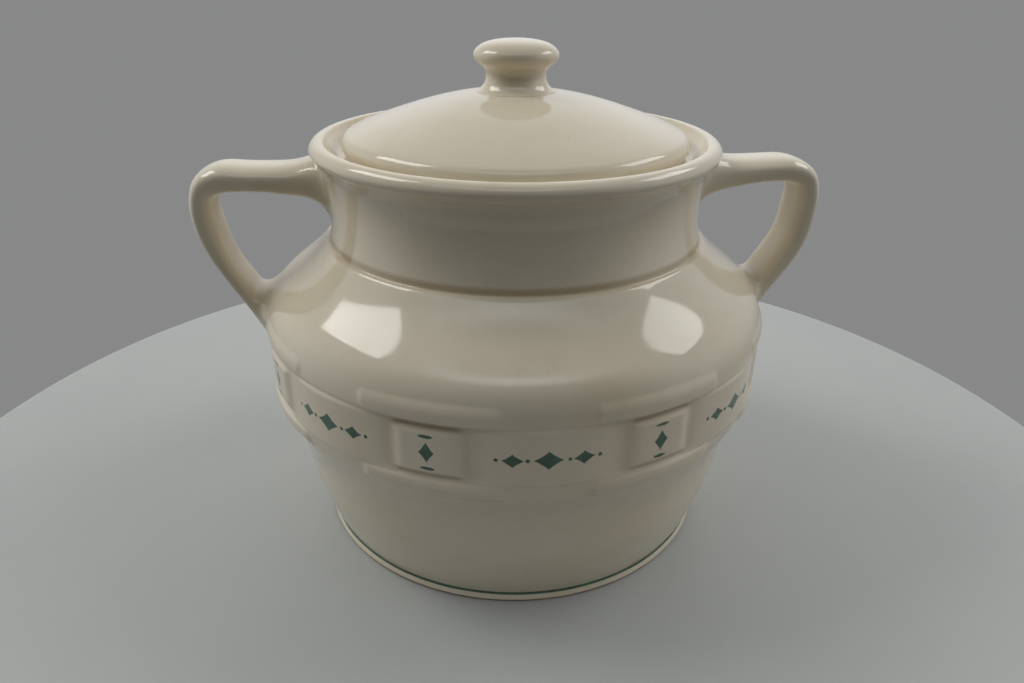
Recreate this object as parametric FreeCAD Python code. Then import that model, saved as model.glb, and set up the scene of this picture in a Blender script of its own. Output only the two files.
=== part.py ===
"""Glazed stoneware cookie jar: bellied body with a woven belt, two strap handles, lift-off lid and knob.

Millimetres, +Z up. The origin is the centre of the foot on the table, the handles stand on the X axis
and the front faces -Y. Every profile is drawn in the XZ half plane, with x as the radius.
"""
import FreeCAD, Part
import math
import os

V = FreeCAD.Vector
Y_AXIS = V(0, 1, 0)
Z_AXIS = V(0, 0, 1)
ORIGIN = V(0, 0, 0)

# Where the revolved surfaces start and end, at the middle of a narrow panel behind the right handle
seam_bearing = 67.5

# Belly, the straight stretch that carries the belt
belly_radius = 125.3
belly_bottom = 89.0
belly_height = 15.0

# Foot. Insets are from the belly's radius
foot_inset = 21.7
foot_edge = 1.4
foot_waist_depth = 1.4
foot_waist_height = 4.6
foot_ring_width = 10.0
foot_recess = 2.5

# Shoulder, up to the small step under the neck
shoulder_inset = 32.0
shoulder_rise = 46.7
neck_step = 1.7
neck_step_rise = 0.4

# Neck and rim roll. Each height is that of its own stretch
neck_hollow = 2.4
neck_height = 34.7
neck_waist_rise = 15.8
rim_height = 12.1
rim_overhang = 5.4

# How the wall curves: shares of the way out and up, from the foot to the belly and from the shoulder's end to the belly
lower_wall_shape = [(0.242, 0.182), (0.424, 0.360), (0.532, 0.538), (0.710, 0.716), (0.857, 0.804), (0.961, 0.893)]
shoulder_shape = [(0.969, 0.289), (0.869, 0.450), (0.628, 0.610), (0.331, 0.771), (0.116, 0.912)]
foot_lean = (0.5, 1)
shoulder_end_lean = (-0.8, 0.8)

# Wall, floor and the gallery inside the rim that the lid sits on. Behind the belt the inside runs straight
# past the skin's nearest stations, so the wall is a little thicker there
wall = 6.5
stations_behind_belt = 3
base_thickness = 7.5
floor_fillet = 20.0
ledge_drop = 7.5
ledge_inset = 8.0
ledge_width = 7.1
ledge_thickness = 4.0
ledge_underside_drop = 8.0
rim_inner_inset = 1.9
rim_inner_drop = 1.5
gallery_slope_bow = (0.42, 0.30)

# Woven belt: how many repeats go round, how deep the relief is, and how far strips reach into the wall
belt_repeats = 8
relief_depth = 2.0
strip_root = 3.0

# Broad weaver, seen as eight wide panels between the uprights that pass over it. A tuck is how many
# degrees short of the middle of an upright a strip ends, proud is past the belly's radius, and the lap
# is how far its rounded edges run over the edges of its channel
weaver_below_belly = 7.0
weaver_above_belly = 6.2
weaver_tuck = 6.5
weaver_sink = 2.4
weaver_proud = 0.5
weaver_lip_radius = 2.8
weaver_lap = 1.0

# Thin weavers above and below it, which pass over the uprights at the narrow panels as low ridges and
# run out into the jar's skin between them
bar_tuck = 9.3
bar_sink = 0.6
bar_depth = 3.2
upper_bar_rise = 3.4
upper_bar_half_height = 5.4
upper_bar_proud = 0.3
lower_bar_drop = 2.5
lower_bar_half_height = 5.6
lower_bar_proud = 0.2

# Uprights: narrow panels pass over the broad weaver
panel_below_belly = 5.0
panel_above_belly = 4.2
panel_top_half_angle = 5.3
panel_foot_half_angle = 8.9
panel_root_depth = 0.5
panel_end_slope = 3.0

# Lid: gaps to the ledge, its edge, and its dome as shares of the way out and down from the crown
lid_seat_gap = 0.3
lid_edge_gap = 1.6
lid_edge_thickness = 9.1
lid_edge_roll = 2.5
lid_crown_rise = 27.7
lid_dome_shape = [(0.504, 0.274), (0.756, 0.602)]
lid_thickness = 6.5
flange_clearance = 2.0
flange_thickness = 6.0
flange_depth = 9.0
flange_taper = 1.0

# Knob: its side as shares of the way from waist to brim and of its height, and its cap as shares of both
knob_radius = 19.7
knob_waist_radius = 13.9
knob_height = 22.0
knob_side_shape = [(0.88, -0.050), (0.29, 0.064), (0.0, 0.255), (0.19, 0.427), (0.74, 0.541), (1.0, 0.691)]
knob_cap_shape = [(0.893, 0.841), (0.635, 0.945)]
knob_root_depth = 2.6

# Handle: how far it reaches past the belly, and its strap where that is thinnest
handle_reach = 30.1
strap_half_thickness = 4.5
strap_half_width = 13.2
strap_squareness = 2.6
strap_section_points = 16

# Stations along the strap's middle line: out from the neck's top, up from the belly's top, tilt of the
# section, and what is added to the half thickness and half width. They are drawn for the reach and
# rise named here and stretch with the jar's own
drawn_reach = 63.8
drawn_rise = 81.4
handle_stations = [
    (-7.6, 71.25, 90.0, 8.75, 6.8),
    (-0.85, 72.75, 88.8, 7.75, 5.4),
    (5.4, 74.2, 90.0, 4.5, 3.2),
    (14.2, 74.1, 94.7, 2.8, 1.7),
    (26.0, 74.5, 93.5, 2.1, 0.8),
    (39.0, 75.2, 90.0, 2.0, 0.4),
    (49.0, 74.8, 74.6, 2.0, 0.2),
    (55.4, 71.6, 46.5, 1.6, 0.1),
    (57.6, 65.8, 26.6, 1.4, 0.0),
    (57.4, 53.2, -3.5, 1.4, 0.0),
    (54.5, 41.0, -19.9, 1.0, 0.1),
    (49.3, 30.1, -27.7, 0.6, 0.4),
    (43.0, 19.8, -33.2, 0.3, 1.0),
    (36.75, 11.35, -45.0, 1.1, 2.4),
    (30.45, 8.8, -67.6, 7.2, 4.4),
    (21.9, 5.25, -69.8, 8.55, 5.2),
]

# Heights and radii that several pieces share
belly_top = belly_bottom + belly_height
shoulder_end_height = belly_top + shoulder_rise
neck_top_height = shoulder_end_height + neck_height
rim_top_height = neck_top_height + rim_height
ledge_height = rim_top_height - ledge_drop
seat_height = ledge_height + lid_seat_gap
crown_height = seat_height + lid_crown_rise
foot_radius = belly_radius - foot_inset
shoulder_end_radius = belly_radius - shoulder_inset
neck_top_radius = shoulder_end_radius - neck_step
neck_radius = neck_top_radius - neck_hollow
ledge_outer_radius = neck_top_radius - ledge_inset
mouth_radius = ledge_outer_radius - ledge_width
valley_radius = belly_radius - relief_depth
half_step = 180.0 / belt_repeats
weaver_bottom = belly_bottom - weaver_below_belly
weaver_top = belly_top + weaver_above_belly
upper_bar_crest = weaver_top + upper_bar_rise
lower_bar_crest = weaver_bottom - lower_bar_drop
bar_half_angle = half_step - bar_tuck
bend = 1 - math.sqrt(0.5)


def between(low, high, shape):
    """Points at shares of the way from one (radius, height) corner to another."""
    return [(low[0] + out * (high[0] - low[0]), low[1] + up * (high[1] - low[1])) for out, up in shape]


# Outlines shared by the body's skin and its hollow
foot_waist = (foot_radius - foot_waist_depth, foot_waist_height)
belly_low = (belly_radius, belly_bottom)
lower_run = [foot_waist] + between(foot_waist, belly_low, lower_wall_shape) + [belly_low]
shoulder_end = (shoulder_end_radius, shoulder_end_height)
shoulder_from = (shoulder_end_radius, belly_top)
shoulder_to = (belly_radius, shoulder_end_height)
upper_run = [(belly_radius, belly_top)] + between(shoulder_from, shoulder_to, shoulder_shape) + [shoulder_end]
neck_start = (neck_top_radius, shoulder_end_height + neck_step_rise)
neck_waist = (neck_radius, shoulder_end_height + neck_waist_rise)
neck_top = (neck_top_radius, neck_top_height)
rim_inside = (neck_top_radius - rim_inner_inset, rim_top_height - rim_inner_drop)


def in_plane(point):
    """A (radius, height) pair as a point of the XZ half plane."""
    return V(point[0], 0, point[1])


def line(p, q):
    return Part.makeLine(in_plane(p), in_plane(q))


def arc(p, q, s):
    return Part.Arc(in_plane(p), in_plane(q), in_plane(s)).toShape()


def curve(points, start, end):
    """A smooth curve through the points, with its end directions."""
    spline = Part.BSplineCurve()
    places = [in_plane(p) for p in points]
    spline.interpolate(Points=places, InitialTangent=in_plane(start), FinalTangent=in_plane(end))
    return spline.toShape()


def turned(edges, axis_radius=0.0, degrees=360.0):
    """Revolve a closed outline round the jar's axis, or round an upright axis out along +X.

    A part turn is centred on +X. A full turn starts at the back, clear of the handles.
    """
    face = Part.Face(Part.Wire(edges))
    axis_point = V(axis_radius, 0, 0)
    start = -degrees / 2 if degrees < 360.0 else seam_bearing
    face.rotate(axis_point, Z_AXIS, start)
    return face.revolve(axis_point, Z_AXIS, degrees)


def offset_inwards(points, distance):
    """Shift a run of outline points towards the axis, square to the run, by the wall."""
    shifted = []
    for i, (r, z) in enumerate(points):
        before = points[max(i - 1, 0)]
        after = points[min(i + 1, len(points) - 1)]
        along = (after[0] - before[0], after[1] - before[1])
        size = math.hypot(*along)
        shifted.append((r - distance * along[1] / size, z + distance * along[0] / size))
    return shifted


def on_circle(radius, degrees):
    """A point at that radius and bearing in the XY plane; bearing 0 is +X."""
    angle = math.radians(degrees)
    return (radius * math.cos(angle), radius * math.sin(angle))


def body_skin():
    """The outside of the body as one solid, before the weave and the hollow are cut."""
    edge_low = (foot_radius - foot_edge, 0)
    edge_top = (foot_radius, foot_edge)
    rim_out = (neck_top_radius + rim_overhang, neck_top_height + 0.7 * rim_height)
    rim_under = (neck_top_radius + 0.48 * rim_overhang, neck_top_height + 0.39 * rim_height)
    rim_low = (neck_top_radius + 0.9 * rim_overhang, neck_top_height + 0.52 * rim_height)
    rim_crest = (neck_top_radius, rim_top_height)
    rim_high = (rim_out[0] - bend * rim_overhang, rim_top_height - bend * (rim_top_height - rim_out[1]))
    rim_fall = (rim_crest[0] - (1 - bend) * rim_inner_inset, rim_crest[1] - bend * rim_inner_drop)
    edges = [
        line((0, 0), edge_low),
        line(edge_low, edge_top),
        line(edge_top, foot_waist),
        curve(lower_run, foot_lean, (0, 1)),
        line(belly_low, upper_run[0]),
        curve(upper_run, (0, 1), shoulder_end_lean),
        line(shoulder_end, neck_start),
        arc(neck_start, neck_waist, neck_top),
        line(neck_top, rim_under),
        arc(rim_under, rim_low, rim_out),
        arc(rim_out, rim_high, rim_crest),
        arc(rim_crest, rim_fall, rim_inside),
        line(rim_inside, (0, rim_inside[1])),
        line((0, rim_inside[1]), (0, 0)),
    ]
    return turned(edges)


def body_hollow():
    """The inside of the jar, from its floor up through the mouth to above the rim."""
    belly = valley_radius - wall
    lower = offset_inwards(lower_run, wall)[1:-stations_behind_belt]
    upper = offset_inwards(upper_run, wall)[stations_behind_belt:-1]
    wall_foot = lower[0]
    wall_lean = (lower[1][0] - wall_foot[0], lower[1][1] - wall_foot[1])
    floor_edge = (wall_foot[0] - floor_fillet, base_thickness)
    floor_bend = (wall_foot[0] - bend * floor_fillet, base_thickness + bend * (wall_foot[1] - base_thickness))
    neck_inside = (neck_radius - wall, neck_waist[1])
    under_ledge = (neck_inside[0], ledge_height - ledge_thickness - ledge_underside_drop)
    mouth_foot = (mouth_radius, ledge_height - ledge_thickness)
    slope_middle = (ledge_outer_radius + gallery_slope_bow[0] * (rim_inside[0] - ledge_outer_radius),
                    ledge_height + gallery_slope_bow[1] * (rim_inside[1] - ledge_height))
    above = rim_top_height + rim_height
    edges = [
        line((0, base_thickness), floor_edge),
        arc(floor_edge, floor_bend, wall_foot),
        curve(lower + [(belly, belly_bottom)], wall_lean, (0, 1)),
        line((belly, belly_bottom), (belly, belly_top)),
        curve([(belly, belly_top)] + upper + [neck_inside], (0, 1), (0, 1)),
        line(neck_inside, under_ledge),
        line(under_ledge, mouth_foot),
        line(mouth_foot, (mouth_radius, ledge_height)),
        line((mouth_radius, ledge_height), (ledge_outer_radius, ledge_height)),
        arc((ledge_outer_radius, ledge_height), slope_middle, rim_inside),
        line(rim_inside, (rim_inside[0], above)),
        line((rim_inside[0], above), (0, above)),
        line((0, above), (0, base_thickness)),
    ]
    return turned(edges)


def foot_hollow():
    """The shallow recess inside the foot ring."""
    inner = foot_radius - foot_edge - foot_ring_width
    return Part.makeCone(inner, inner - foot_recess, foot_recess)


def offset_axis(half_angle, drop):
    """How far out along its own bearing a strip's axis lies, so that the strip's face
    falls by the drop, seen from the jar's axis, at the half angle."""
    near, far = 0.0, 0.9 * belly_radius
    angle = math.radians(half_angle)
    for _ in range(50):
        middle = (near + far) / 2
        small = belly_radius - middle
        reach = middle * math.cos(angle) + math.sqrt(max(small**2 - (middle * math.sin(angle))**2, 0.0))
        if belly_radius - reach < drop:
            near = middle
        else:
            far = middle
    return near


def bearing_round_axis(radius, axis_radius, degrees):
    """The turn about an offset upright axis that reaches the same bearing seen from the jar's axis."""
    x, y = on_circle(radius, degrees)
    return math.degrees(math.atan2(y, x - axis_radius))


def strip(section, half_angle, sink):
    """A stretch of weaver that bulges over an upright and sinks to both sides of it."""
    axis_radius = offset_axis(half_angle, sink)
    half_turn = bearing_round_axis(belly_radius - sink, axis_radius, half_angle)
    return turned(section, axis_radius, 2 * half_turn)


def broad_weaver():
    face = belly_radius + weaver_proud
    back = valley_radius - strip_root
    lip = weaver_lip_radius
    turn = bend * lip
    section = [
        line((back, weaver_bottom), (face - lip, weaver_bottom)),
        arc((face - lip, weaver_bottom), (face - turn, weaver_bottom + turn), (face, weaver_bottom + lip)),
        line((face, weaver_bottom + lip), (face, weaver_top - lip)),
        arc((face, weaver_top - lip), (face - turn, weaver_top - turn), (face - lip, weaver_top)),
        line((face - lip, weaver_top), (back, weaver_top)),
        line((back, weaver_top), (back, weaver_bottom)),
    ]
    return strip(section, half_step - weaver_tuck, weaver_sink)


def thin_weaver(crest, half_height, proud):
    face = belly_radius + proud
    foot = face - bar_depth
    back = valley_radius - strip_root
    section = [
        arc((foot, crest - half_height), (face, crest), (foot, crest + half_height)),
        line((foot, crest + half_height), (back, crest + half_height)),
        line((back, crest + half_height), (back, crest - half_height)),
        line((back, crest - half_height), (foot, crest - half_height)),
    ]
    return strip(section, bar_half_angle, bar_sink)


def sloped_sector(inner, outer, inner_half, outer_half, bottom, top):
    """An upright block on +X between two radii, with sides that slope from one half angle to the other."""
    inner_x, inner_y = on_circle(inner, inner_half)
    outer_x, outer_y = on_circle(outer, outer_half)
    inner_face = Part.Arc(V(inner_x, -inner_y, bottom), V(inner, 0, bottom), V(inner_x, inner_y, bottom))
    outer_face = Part.Arc(V(outer_x, outer_y, bottom), V(outer, 0, bottom), V(outer_x, -outer_y, bottom))
    outline = Part.Wire([
        inner_face.toShape(),
        Part.makeLine(V(inner_x, inner_y, bottom), V(outer_x, outer_y, bottom)),
        outer_face.toShape(),
        Part.makeLine(V(outer_x, -outer_y, bottom), V(inner_x, -inner_y, bottom)),
    ])
    return Part.Face(outline).extrude(V(0, 0, top - bottom))


def narrow_panel():
    """An upright's pillow over the broad weaver: its face follows the belly and all four sides slope."""
    face = belly_radius
    low = valley_radius - panel_root_depth
    back = valley_radius - strip_root
    past_face = belly_radius + relief_depth
    rise = (past_face - low) / (face - low) * panel_end_slope
    bottom = belly_bottom - panel_below_belly
    top = belly_top + panel_above_belly
    sector = sloped_sector(low, face, panel_foot_half_angle, panel_top_half_angle, bottom, top)
    root = sloped_sector(back, low, panel_foot_half_angle, panel_foot_half_angle, bottom, top)
    profile = turned([
        line((back, bottom), (low, bottom)),
        line((low, bottom), (past_face, bottom + rise)),
        line((past_face, bottom + rise), (past_face, top - rise)),
        line((past_face, top - rise), (low, top)),
        line((low, top), (back, top)),
        line((back, top), (back, bottom)),
    ], 0.0, 4 * panel_foot_half_angle)
    return sector.fuse(root).common(profile)


def weaver_channel():
    """The channel all round the belly that the broad weaver and the narrow panels lie in."""
    bottom = weaver_bottom + weaver_lap
    top = weaver_top - weaver_lap
    past_face = belly_radius + relief_depth
    return turned([
        line((valley_radius, bottom), (past_face, bottom)),
        line((past_face, bottom), (past_face, top)),
        line((past_face, top), (valley_radius, top)),
        line((valley_radius, top), (valley_radius, bottom)),
    ])


def round_the_belt(solid, first_degrees):
    """Copies of one piece of the weave, one for each repeat."""
    copies = []
    for i in range(belt_repeats):
        one = solid.copy()
        one.rotate(ORIGIN, Z_AXIS, first_degrees + i * 360.0 / belt_repeats)
        copies.append(one)
    return copies


def woven_skin():
    """The whole outside of the body: a channel cut round the belly, then the weave's strips laid on."""
    weave = round_the_belt(broad_weaver(), 0.0)
    weave += round_the_belt(thin_weaver(upper_bar_crest, upper_bar_half_height, upper_bar_proud), half_step)
    weave += round_the_belt(thin_weaver(lower_bar_crest, lower_bar_half_height, lower_bar_proud), half_step)
    weave += round_the_belt(narrow_panel(), half_step)
    return body_skin().cut(weaver_channel()).fuse(weave)


def strap_section(out, up, tilt, extra_thickness, extra_width):
    """A flattened round across the strap at one station."""
    reach = belly_radius + handle_reach - neck_top_radius
    rise = neck_top_height - belly_top
    centre = in_plane((neck_top_radius + out * reach / drawn_reach, belly_top + up * rise / drawn_rise))
    thickness = in_plane(on_circle(strap_half_thickness + extra_thickness, tilt))
    power = 2.0 / strap_squareness
    points = []
    for i in range(strap_section_points):
        angle = 2 * math.pi * i / strap_section_points
        across = math.copysign(abs(math.cos(angle)) ** power, math.cos(angle))
        over = math.copysign(abs(math.sin(angle)) ** power, math.sin(angle))
        points.append(centre + Y_AXIS * ((strap_half_width + extra_width) * across) + thickness * over)
    spline = Part.BSplineCurve()
    spline.interpolate(Points=points, PeriodicFlag=True)
    return Part.Wire(spline.toShape())


def handle(skin):
    """A strap bent to a corner, flared at both roots and trimmed to the jar's skin."""
    strap = Part.makeLoft([strap_section(*station) for station in handle_stations], True, False)
    outside = strap.cut(skin.copy())
    return max(outside.Solids, key=lambda solid: solid.Volume)


def lid():
    """Domed lid: rolled edge, flat seat and a flange that drops into the mouth."""
    edge_radius = ledge_outer_radius - lid_edge_gap
    dome_edge = (edge_radius - lid_edge_roll, seat_height + lid_edge_thickness)
    edge_out = (edge_radius, seat_height + 0.45 * lid_edge_thickness)
    edge_low = (edge_radius - lid_edge_roll, seat_height)
    flange_outer = mouth_radius - flange_clearance
    flange_inner = flange_outer - flange_thickness
    flange_foot = seat_height - flange_depth
    crown = (0, crown_height)
    outside = [crown] + between(crown, dome_edge, lid_dome_shape) + [dome_edge]
    inside = [(r, z - lid_thickness) for r, z in outside[:-1]] + [(flange_inner, seat_height)]
    edges = [
        curve(outside, (1, 0), (1, -0.46)),
        arc(dome_edge, edge_out, edge_low),
        line(edge_low, (flange_outer, seat_height)),
        line((flange_outer, seat_height), (flange_outer - flange_taper, flange_foot)),
        line((flange_outer - flange_taper, flange_foot), (flange_inner, flange_foot)),
        line((flange_inner, flange_foot), inside[-1]),
        curve(inside[::-1], (-1, 0.6), (-1, 0)),
        line(inside[0], crown),
    ]
    return turned(edges)


def lid_knob(lid_solid):
    """Mushroom knob on a waisted stem, flared where it stands on the dome."""
    knob_top = (0, crown_height + knob_height)
    side = between((knob_waist_radius, crown_height), (knob_radius, knob_top[1]), knob_side_shape)
    cap = between((0, crown_height), (knob_radius, knob_top[1]), knob_cap_shape)
    foot = side[0]
    root = foot[1] - knob_root_depth
    edges = [
        line((0, root), (foot[0], root)),
        line((foot[0], root), foot),
        curve(side, (-1, 0.4), (0, 1)),
        curve([side[-1]] + cap + [knob_top], (0, 1), (-1, 0)),
        line(knob_top, (0, root)),
    ]
    return turned(edges).cut(lid_solid)


def one_solid(shape):
    """The single solid of a finished piece, with faces of the same surface joined."""
    tidy = shape.removeSplitter()
    return max(tidy.Solids, key=lambda solid: solid.Volume)


def build():
    skin = woven_skin()
    body = skin.cut(body_hollow()).cut(foot_hollow())
    right = handle(skin)
    left = right.copy()
    left.rotate(ORIGIN, Z_AXIS, 180)
    lid_solid = lid()
    return {
        "jar_body": one_solid(body),
        "handle_right": right,
        "handle_left": left,
        "lid": lid_solid,
        "lid_knob": one_solid(lid_knob(lid_solid)),
    }


os.makedirs("parts", exist_ok=True)
for name, shape in build().items():
    box = shape.BoundBox
    print(name, shape.ShapeType, "valid", shape.isValid(), "solids", len(shape.Solids),
          "volume", round(shape.Volume), "x", round(box.XMin, 2), round(box.XMax, 2),
          "y", round(box.YMin, 2), round(box.YMax, 2), "z", round(box.ZMin, 2), round(box.ZMax, 2))
    shape.exportStep("parts/" + name + ".step")
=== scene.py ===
"""Looks of a glazed stoneware cookie jar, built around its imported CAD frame.

Profiles and relief are in millimetres and use the names of the part's own sizes; meshes are in
metres. Azimuth is in degrees round the jar's axis, 0 at the front (-Y) and 90 at the right handle.
"""
import math

import bpy
import numpy as np
from mathutils import Matrix, Vector


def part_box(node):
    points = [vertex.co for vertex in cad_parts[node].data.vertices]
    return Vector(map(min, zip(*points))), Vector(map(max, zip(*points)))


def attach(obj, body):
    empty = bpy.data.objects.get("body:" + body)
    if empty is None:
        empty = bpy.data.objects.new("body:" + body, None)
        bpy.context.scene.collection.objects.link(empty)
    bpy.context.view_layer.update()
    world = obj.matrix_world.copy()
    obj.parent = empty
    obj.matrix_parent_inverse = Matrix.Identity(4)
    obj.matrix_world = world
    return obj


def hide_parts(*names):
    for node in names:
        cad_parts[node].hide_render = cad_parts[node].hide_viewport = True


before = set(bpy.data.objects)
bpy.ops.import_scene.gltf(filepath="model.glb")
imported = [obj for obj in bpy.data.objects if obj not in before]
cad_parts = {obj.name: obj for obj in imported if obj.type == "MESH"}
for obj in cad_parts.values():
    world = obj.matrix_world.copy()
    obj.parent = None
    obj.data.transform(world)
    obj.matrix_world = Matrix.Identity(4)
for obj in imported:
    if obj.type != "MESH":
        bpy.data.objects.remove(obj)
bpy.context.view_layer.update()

MM = 0.001

# Mesh density: columns round each turned piece, the step that profiles are worked out in, the turn
# from row to row in radians, the closest that rows may lie, and the widest in each kind of place
body_columns = 960
lid_columns = 384
knob_columns = 192
table_columns = 256
profile_step = 0.1
row_turn = 0.10
finest_row = 0.22
outside_row = 1.2
belt_row = 0.5
inside_row = 3.0
lid_row = 1.6
lid_edge_row = 1.0
lid_underside_row = 2.0
knob_row = 0.8
knob_side_row = 0.6
table_row = 40.0
table_side_row = 5.0
table_edge_row = 0.8

# Belly and foot
belly_radius = 125.3
belly_bottom = 89.0
belly_height = 15.0
foot_inset = 21.7
foot_edge = 1.4
foot_waist_depth = 1.4
foot_waist_height = 4.6
foot_ring_width = 10.0
foot_recess = 2.5

# Shoulder, neck and rim
shoulder_inset = 32.0
shoulder_rise = 46.7
neck_step = 1.7
neck_step_rise = 0.4
neck_hollow = 2.4
neck_height = 34.7
neck_waist_rise = 15.8
rim_overhang = 5.4
lower_wall_shape = [
    (0.242, 0.182), (0.424, 0.360), (0.532, 0.538), (0.710, 0.716), (0.857, 0.804), (0.961, 0.893),
]
shoulder_shape = [(0.969, 0.289), (0.869, 0.450), (0.628, 0.610), (0.331, 0.771), (0.116, 0.912)]

# Wall, floor and the gallery inside the rim
wall = 6.5
base_thickness = 7.5
floor_fillet = 20.0
ledge_drop = 7.5
ledge_inset = 8.0
ledge_width = 7.1
ledge_thickness = 4.0
ledge_underside_drop = 8.0
rim_inner_inset = 1.9
rim_inner_drop = 1.5

# Woven belt
belt_repeats = 8
relief_depth = 2.0
weaver_below_belly = 7.0
weaver_above_belly = 6.2
weaver_tuck = 6.5
weaver_sink = 2.4
weaver_proud = 0.5
weaver_lip_radius = 2.8
weaver_lap = 1.0
bar_tuck = 9.3
bar_sink = 0.6
bar_depth = 3.2
upper_bar_rise = 3.4
upper_bar_half_height = 5.4
upper_bar_proud = 0.3
lower_bar_drop = 2.5
lower_bar_half_height = 5.6
lower_bar_proud = 0.2
panel_below_belly = 5.0
panel_above_belly = 4.2
panel_top_half_angle = 5.3
panel_foot_half_angle = 8.9
panel_root_depth = 0.5
panel_end_slope = 3.0

# How the glaze rounds the relief, and how steeply the edges of the strips (in mm per mm) and their
# ends (in mm per degree) go under where they are hidden
glaze_fill = 2.2
panel_fill = 0.4 * glaze_fill
panel_top_blend = 0.7
panel_corner_blend = 1.0
channel_slope = 2.5
bar_edge_slope = 2.0
bar_end_slope = 1.2
weaver_edge_slope = 3.0
weaver_end_slope = 1.5
body_blur = 0.45
lid_blur = 0.5

# Lid and knob
lid_edge_gap = 1.6
lid_edge_thickness = 9.1
lid_edge_roll = 2.5
lid_seat_gap = 0.3
lid_thickness = 6.5
lid_dome_shape = [(0.504, 0.274), (0.756, 0.602)]
flange_clearance = 2.0
flange_thickness = 6.0
flange_depth = 9.0
flange_taper = 1.0
knob_radius = 19.7
knob_waist_radius = 13.9
knob_side_shape = [
    (0.88, -0.050), (0.29, 0.064), (0.0, 0.255), (0.19, 0.427), (0.74, 0.541), (1.0, 0.691),
]
knob_cap_shape = [(0.893, 0.841), (0.635, 0.945)]

# Handles: stations as out from the neck's top, up from the belly's top, tilt of the section, and
# what is added to the half thickness and half width. Both handles share their roots, and each strap
# has stations of its own between them
strap_half_thickness = 4.5
strap_half_width = 13.2
strap_squareness = 2.6
strap_rows = 300
strap_columns = 96
upper_root = [(-7.6, 71.25, 90.0, 8.75, 6.8), (-0.85, 72.75, 88.8, 7.75, 5.4)]
lower_root = [(30.45, 8.8, -67.6, 7.2, 4.4), (21.9, 5.25, -69.8, 8.55, 5.2)]
right_strap = [
    (6.4, 73.6, 90.0, 5.4, 3.2),
    (14.7, 73.8, 94.7, 3.3, 1.7),
    (26.1, 74.5, 93.5, 2.0, 0.8),
    (38.7, 75.2, 90.0, 1.65, 0.4),
    (48.4, 74.5, 74.6, 1.5, 0.2),
    (54.7, 71.1, 46.5, 1.4, 0.1),
    (57.0, 65.5, 26.6, 1.7, 0.0),
    (57.0, 52.9, -3.5, 1.85, 0.0),
    (55.0, 40.7, -19.9, 1.75, 0.1),
    (50.0, 29.9, -27.7, 1.5, 0.4),
    (43.6, 19.8, -33.2, 1.2, 1.0),
    (36.9, 11.9, -45.0, 1.9, 2.4),
]
left_strap = [
    (4.9, 74.3, 90.0, 5.4, 3.2),
    (13.5, 74.5, 94.7, 3.2, 1.7),
    (25.2, 75.0, 93.5, 2.05, 0.8),
    (38.1, 75.5, 90.0, 2.05, 0.4),
    (48.0, 75.2, 74.6, 2.3, 0.2),
    (54.5, 71.7, 46.5, 1.9, 0.1),
    (57.0, 65.9, 26.6, 1.55, 0.0),
    (56.7, 53.9, -3.5, 1.45, 0.0),
    (53.7, 42.1, -19.9, 0.8, 0.1),
    (49.0, 31.1, -27.7, -0.1, 0.4),
    (43.2, 20.9, -33.2, -0.2, 1.0),
    (37.3, 13.0, -45.0, 0.8, 2.4),
]

# How far the straps' roots run out onto the skin where the strap faces down, level and up, how full
# their fillets are, and how they go on under the skin: on, and down
upper_root_reaches = (8.0, 7.0, 2.5)
lower_root_reaches = (5.0, 7.0, 11.0)
root_rows = 18
root_fullness = 0.62
root_under = [(0.5, 0.08), (1.2, 0.6), (0.0, 4.0)]

# Painted and bare places: the green line above the foot, how near to the handles the marks stop,
# the darker crease under the neck (pooled glaze and painted shade), and the bare edge of the foot
line_height = 4.2
line_fade = (0.85, 0.5)
unpainted_half_angle = 4.4
unpainted_fade = 0.1
crease_rise = 1.9
crease_reach = 2.8
bare_fade = (1.35, 0.95)

# Marks as across from the panel's middle, up from the belt's, half width and half height
wide_lozenges = [(0.0, 0.0, 6.2, 4.4), (-14.4, 0.0, 4.6, 3.2), (14.4, 0.0, 4.6, 3.2)]
wide_dots = [(across, 0.0, 0.85, 0.85) for across in (-21.0, -8.4, 8.4, 21.0)]
narrow_lozenges = [(0.0, 0.0, 3.4, 5.0)]
narrow_dots = [(0.0, -7.6, 3.1, 0.75), (0.0, 7.6, 3.1, 0.75)]
lozenge_power = 0.86

# The table
table_radius = 343.0
table_thickness = 22.0
table_edge_round = 3.0

# Heights and radii that follow from those above and from the frame
rim_top_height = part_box("jar_body")[1].z / MM
crown_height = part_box("lid")[1].z / MM
knob_top_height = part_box("lid_knob")[1].z / MM
belly_top = belly_bottom + belly_height
shoulder_end_height = belly_top + shoulder_rise
neck_top_height = shoulder_end_height + neck_height
rim_height = rim_top_height - neck_top_height
ledge_height = rim_top_height - ledge_drop
seat_height = ledge_height + lid_seat_gap
foot_radius = belly_radius - foot_inset
shoulder_end_radius = belly_radius - shoulder_inset
neck_top_radius = shoulder_end_radius - neck_step
neck_radius = neck_top_radius - neck_hollow
ledge_outer_radius = neck_top_radius - ledge_inset
mouth_radius = ledge_outer_radius - ledge_width
valley_radius = belly_radius - relief_depth
repeat_angle = 360.0 / belt_repeats
half_step = repeat_angle / 2
weaver_bottom = belly_bottom - weaver_below_belly
weaver_top = belly_top + weaver_above_belly
upper_bar_crest = weaver_top + upper_bar_rise
lower_bar_crest = weaver_bottom - lower_bar_drop
belt_low = lower_bar_crest - 2 * lower_bar_half_height
belt_high = upper_bar_crest + 2 * upper_bar_half_height
motif_height = (weaver_bottom + weaver_top) / 2
bend = 1 - math.sqrt(0.5)


# Curves and profiles

def unit(v):
    v = np.array(v, float)
    return v / np.linalg.norm(v)


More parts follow.
